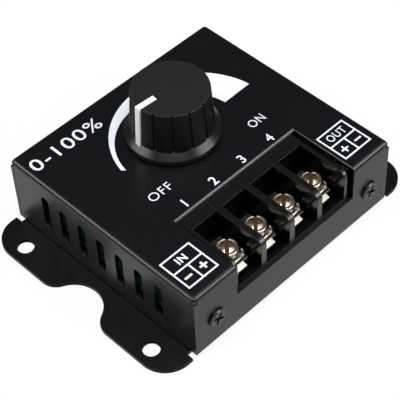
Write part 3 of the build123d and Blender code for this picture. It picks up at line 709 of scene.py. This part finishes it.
def threadRows(foot, top):
    # heights of the thread's rows with the share of the full thread that each one has
    pitch = clampScrew["pitch"] * mm
    rows = int((top - foot) / pitch * clampScrew["rowsPerPitch"])
    for row in range(rows + 1):
        height = foot + (top - foot) * row / rows
        fadeTip = min(1.0, (height - foot) / (clampScrew["tip"] * mm))
        fadeTop = min(1.0, (top - height) / (clampScrew["relief"] * mm))
        yield height, fadeTip, fadeTop


def threadInto(build, centre, foot, top):
    # ridge height follows a triangle wave that climbs one pitch to each turn
    pitch, depth, full = (clampScrew[key] * mm for key in ("pitch", "threadDepth", "shank"))
    sides = clampScrew["threadSides"]
    rings = []
    for height, fadeTip, fadeTop in threadRows(foot, top):
        ring = []
        for side in range(sides):
            turn = side / sides
            wave = abs(2 * ((height / pitch - turn) % 1.0) - 1)
            radius = full - depth + depth * wave * fadeTop - (1 - fadeTip) * depth * (1 + wave)
            ring.append(build.verts.new(onCircle(centre, radius, 2 * math.pi * turn, height)))
        rings.append(ring)
    build.faces.new(rings[0][::-1])
    build.faces.new(rings[-1])
    bridgeRings(build, rings)


def markRecess(mesh, centre, top):
    # second material on the faces inside the slot and cross
    limits = clampScrew["recess"]
    floor = top - clampScrew["slotDepth"] * mm
    slack = limits["slack"] * mm
    for face in mesh.polygons:
        offset = face.center - centre
        flatOut = face.normal.x * offset.x + face.normal.y * offset.y
        deep = floor - slack < face.center.z < top - limits["skin"] * mm
        outside = flatOut > limits["outward"] * math.hypot(offset.x, offset.y)
        crownFace = face.normal.z > limits["upward"] and face.center.z > floor + slack
        face.material_index = 1 if deep and not outside and not crownFace else 0


def makeClampScrew(way):
    node = f"terminal_screw_{way}"
    name = f"clamp_screw_{way}"
    low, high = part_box(node)
    centre = (low + high) / 2
    foot = high.z - clampScrew["headHeight"] * mm
    build = bmesh.new()
    profile = headProfile(clampScrew["headRadius"] * mm, foot, high.z)
    latheRings(build, centre, profile, clampScrew["sides"])
    head = cutMesh("screwHead", tempObject("screwHead", build), recessCutter(centre, high.z), True)
    build = bmesh.new()
    build.from_mesh(head)
    threadInto(build, centre, low.z, foot + clampScrew["overlap"] * mm)
    mesh = meshFrom(name, build)
    piece = finishPiece(name, mesh, f"screw_{way}", "nickel", "screwNickel", "tarnishAndShadeNickel")
    markRecess(mesh, centre, high.z)
    smoothFaces(mesh, clampScrew["sharp"])
    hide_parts(node)


for way in ways:
    makeClampScrew(way)
print("clamp screws turned")


# clamp plates: pressed square with a rolled front edge and two arched side lips, in mm from the screw's axis
clampPlate = {
    "half": 3.25, "front": -3.1, "back": 3.1, "thick": 0.8, "steps": 18, "underEdge": 0.08, "sharp": 40,
    "backEdge": 0.15, "backLift": 0.1, "roll": 0.42, "rollSteps": 5,
    "lip": 0.4, "crest": 1.2, "lipReach": 3.05, "lipFullness": 5, "lipBase": 0.01, "lipFoot": 0.12,
    "lipSoft": 0.1, "lipDrop": 0.005,
    "hole": 1.83, "holeSides": 40, "punch": (-1.0, 2.0),
    "bright": {"reach": 1.05, "slack": 0.02, "upward": 0.1, "forward": 0.9},    # limits of the roll's faces
}


def lipHeight(along):
    # arched crest that dies out towards both ends of the plate
    share = min(1.0, abs(along) / clampPlate["lipReach"])
    return clampPlate["lipBase"] + clampPlate["crest"] * (1 - share ** clampPlate["lipFullness"])


def plateStations():
    # place along the plate with the heights of its underside and top there
    front, back, thick = (clampPlate[key] for key in ("front", "back", "thick"))
    roll, edge = clampPlate["roll"], clampPlate["backEdge"]
    rollSteps, steps = clampPlate["rollSteps"], clampPlate["steps"]
    stations = []
    for step in range(rollSteps + 1):
        angle = math.pi / 2 * step / rollSteps
        stations.append((front + roll * (1 - math.cos(angle)), 0.0, thick - roll + roll * math.sin(angle)))
    span = back - front - roll - edge
    for step in range(1, steps):
        stations.append((front + roll + span * step / steps, 0.0, thick))
    return stations + [(back - edge, 0.0, thick), (back, clampPlate["backLift"], thick - edge)]


def plateSection(along, low, top):
    half, edge = clampPlate["half"], clampPlate["underEdge"]
    foot, soft, drop = (clampPlate[key] for key in ("lipFoot", "lipSoft", "lipDrop"))
    inner = half - clampPlate["lip"]
    tall = top + lipHeight(along)
    side = [(half - edge, low), (half, low + edge), (half, tall - drop), (half - soft, tall)]
    side += [(inner + soft, tall), (inner, tall - drop), (inner - foot, top)]
    return side + [(-x, z) for x, z in reversed(side)]


def markRoll(mesh, centre, foot):
    # painted highlight on the rolled edge as the second material, and painted shade on its upright face as
    # the third
    limits = clampPlate["bright"]
    rollEnd = centre.y + (clampPlate["front"] + clampPlate["roll"] * limits["reach"]) * mm
    plateTop = foot + (clampPlate["thick"] + limits["slack"]) * mm
    for face in mesh.polygons:
        atFront = face.center.y < rollEnd
        onRoll = atFront and face.normal.z > limits["upward"] and face.center.z < plateTop
        upright = atFront and -face.normal.y > limits["forward"]
        face.material_index = 2 if upright else 1 if onRoll else 0


def makeClampPlate(way):
    node = f"clamp_plate_{way}"
    name = f"wire_clamp_{way}"
    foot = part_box(node)[0].z
    low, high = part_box(f"terminal_screw_{way}")
    centre = (low + high) / 2
    build = bmesh.new()
    rows = []
    for along, under, top in plateStations():
        y = centre.y + along * mm
        section = plateSection(along, under, top)
        rows.append([build.verts.new((centre.x + x * mm, y, foot + z * mm)) for x, z in section])
    build.faces.new(rows[0])
    build.faces.new(rows[-1][::-1])
    bridgeRings(build, rows)
    plate = tempObject("pressedPlate", build)
    build = bmesh.new()
    hole = clampPlate["hole"] * mm
    start, end = (foot + height * mm for height in clampPlate["punch"])
    profile = [(0, start), (hole, start), (hole, end), (0, end)]
    latheRings(build, centre, profile, clampPlate["holeSides"])
    mesh = cutMesh(name, plate, tempObject("screwHole", build))
    platings = ("satinNickel", "brightNickel", "tarnishAndShadeNickel")
    piece = finishPiece(name, mesh, f"clamp_{way}", "nickel", *platings)
    markRoll(mesh, centre, foot)
    smoothFaces(mesh, clampPlate["sharp"])
    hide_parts(node)


for way in ways:
    makeClampPlate(way)
print("clamp plates pressed")


# powder coat gathered in the relief notch at each upper corner of the case, in mm
cornerBead = {
    "halfWidth": 34.75, "inset": 1.05, "radius": 0.95, "swell": -0.08, "lobes": 4,
    "sides": 32, "domeSteps": 7, "sharp": 50,
    "foot": 2.3, "shoulder": 1.1, "top": 0.15,    # depths below the roof
}
roofBack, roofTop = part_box("top_cover")[1].yz


def makeCornerBead(name, signX, signY):
    spec = cornerBead
    across = spec["halfWidth"] - spec["inset"]
    centre = Vector((signX * across * mm, signY * (roofBack - spec["inset"] * mm), 0))
    foot, shoulder, top = (roofTop - spec[key] * mm for key in ("foot", "shoulder", "top"))
    profile = [(0, foot), (spec["radius"] * mm, foot)]
    for step in range(spec["domeSteps"]):
        angle = math.pi / 2 * step / spec["domeSteps"]
        profile.append((spec["radius"] * mm * math.cos(angle), shoulder + (top - shoulder) * math.sin(angle)))
    build = bmesh.new()
    latheRings(build, centre, profile + [(0, top)], spec["sides"], spec["swell"], spec["lobes"])
    mesh = meshFrom(name, build)
    finishPiece(name, mesh, "case", "black_paint", "powderCoat")
    smoothFaces(mesh, spec["sharp"])


for number, (signX, signY) in enumerate(cornerSigns, 1):
    makeCornerBead(f"corner_bead_{number}", signX, signY)
print("corner beads laid")


# screen print on the roof sheet, in mm
ink = {
    "height": 0.03,
    "line": 0.45,
    "spacing": 1.12,
    "signArm": 1.15,
    "wordDrop": 0.1,
    "words": {
        "off": {"text": "OFF", "box": (-20.05, -13.05, -4.23, -1.58), "bold": -0.004},
        "on": {"text": "ON", "box": (14.68, 19.68, -4.64, -2.04), "bold": 0.006},
        "percent": {"text": "0-100%", "box": (-32.9, -10.35, 24.1, 28.2), "bold": 0.005},
    },
    "numbers": {"from": -15.0, "step": 10.0, "y": (-11.2, -8.4), "width": 1.7, "bold": 0.012},
    "wedge": {
        "outer": {"center": (3.66, 4.73), "radius": 22.28, "from": 168.2, "to": 6.9},
        "inner": {"center": (-0.42, 5.70), "radius": 17.1, "from": 170.9, "to": 5.0},
        "steps": 96,
    },
    "boxes": {
        "IN": {"box": (-32.75, -23.0, -29.4, -19.2), "split": -23.9, "divide": -27.9,
               "signs": "-+", "signHalf": 0.3, "word": (2.85, 2.2), "bold": 0.028},
        "OUT": {"box": (22.5, 32.2, -28.9, -18.85), "split": -23.6, "divide": 27.7,
                "signs": "+-", "signHalf": 0.25, "word": (6.0, 2.35), "bold": 0.004},
    },
}


def layInk(name, mesh):
    finishPiece(name, mesh, "case", "white_plastic", "whiteInk")


def printLoops(name, loops):
    # closed outlines in mm, raised by the ink's height
    build = bmesh.new()
    for loop in loops:
        build.faces.new([build.verts.new((x * mm, y * mm, roofTop)) for x, y in loop])
    raised = bmesh.ops.extrude_face_region(build, geom=build.faces[:])
    lifted = [item for item in raised["geom"] if isinstance(item, bmesh.types.BMVert)]
    bmesh.ops.translate(build, verts=lifted, vec=(0, 0, ink["height"] * mm))
    layInk(name, meshFrom(name, build))


def printWord(name, text, box, bold, keepShape=False):
    # letters scaled to fill a box in mm, or to its height only
    curve = bpy.data.curves.new(name, "FONT")
    curve.body = text
    curve.offset = bold
    curve.space_character = ink["spacing"]
    curve.extrude = ink["height"] * mm / 2
    mesh = bakedMesh(name, bpy.data.objects.new(name + "Curve", curve))
    bpy.data.curves.remove(curve)
    xs = [vertex.co.x for vertex in mesh.vertices]
    ys = [vertex.co.y for vertex in mesh.vertices]
    x0, x1, y0, y1 = (value * mm for value in box)
    scaleY = (y1 - y0) / (max(ys) - min(ys))
    scaleX = scaleY if keepShape else (x1 - x0) / (max(xs) - min(xs))
    middle = (min(xs) + max(xs)) / 2
    for vertex in mesh.vertices:
        vertex.co.x = (x0 + x1) / 2 + (vertex.co.x - middle) * scaleX
        vertex.co.y = y0 + (vertex.co.y - min(ys)) * scaleY
        vertex.co.z += roofTop + ink["height"] * mm / 2
    layInk(name, mesh)


def barLoop(x0, x1, y0, y1):
    return [(x0, y0), (x1, y0), (x1, y1), (x0, y1)]


def arcPoints(spec, steps):
    points = []
    for step in range(steps + 1):
        angle = math.radians(spec["from"] + (spec["to"] - spec["from"]) * step / steps)
        points.append((spec["center"][0] + spec["radius"] * math.cos(angle),
                       spec["center"][1] + spec["radius"] * math.sin(angle)))
    return points


def printWedge():
    steps = ink["wedge"]["steps"]
    outer, inner = (arcPoints(ink["wedge"][key], steps) for key in ("outer", "inner"))
    strips = []
    for step in range(steps):
        strips.append([outer[step], inner[step], inner[step + 1], outer[step + 1]])
    printLoops("print_level_wedge", strips)


def printBox(word, spec):
    # frame split into a field for the word above and two for the signs below
    name = f"print_{word.lower()}"
    x0, x1, y0, y1 = spec["box"]
    split, divide = spec["split"], spec["divide"]
    line, thin = ink["line"], ink["line"] / 2
    loops = [barLoop(x0, x1, y1 - line, y1), barLoop(x0, x1, y0, y0 + line)]
    loops += [barLoop(x0, x0 + line, y0 + line, y1 - line), barLoop(x1 - line, x1, y0 + line, y1 - line)]
    loops.append(barLoop(x0 + line, x1 - line, split - thin, split + thin))
    loops.append(barLoop(divide - thin, divide + thin, y0 + line, split - thin))
    printLoops(f"{name}_frame", loops)
    middle = (x0 + x1) / 2
    wide, tall = spec["word"]
    level = (split + y1) / 2 - ink["wordDrop"]
    wordBox = (middle - wide / 2, middle + wide / 2, level - tall / 2, level + tall / 2)
    printWord(f"{name}_word", word, wordBox, spec["bold"])
    centres = ((x0 + divide) / 2, (divide + x1) / 2)
    across = (y0 + split) / 2
    arm, half = ink["signArm"], spec["signHalf"]
    for centre, sign, side in zip(centres, spec["signs"], ("left", "right")):
        bars = [barLoop(centre - arm, centre + arm, across - half, across + half)]
        if sign == "+":
            bars.append(barLoop(centre - half, centre + half, across + half, across + arm))
            bars.append(barLoop(centre - half, centre + half, across - arm, across - half))
        printLoops(f"{name}_{side}", bars)


def printRoof():
    printWedge()
    for name, spec in ink["words"].items():
        printWord(f"print_{name}", spec["text"], spec["box"], spec["bold"])
    row = ink["numbers"]
    for way in ways:
        middle = row["from"] + (way - 1) * row["step"]
        box = (middle - row["width"] / 2, middle + row["width"] / 2, *row["y"])
        printWord(f"print_number_{way}", str(way), box, row["bold"], True)
    for word, spec in ink["boxes"].items():
        printBox(word, spec)


printRoof()
print("roof print laid")
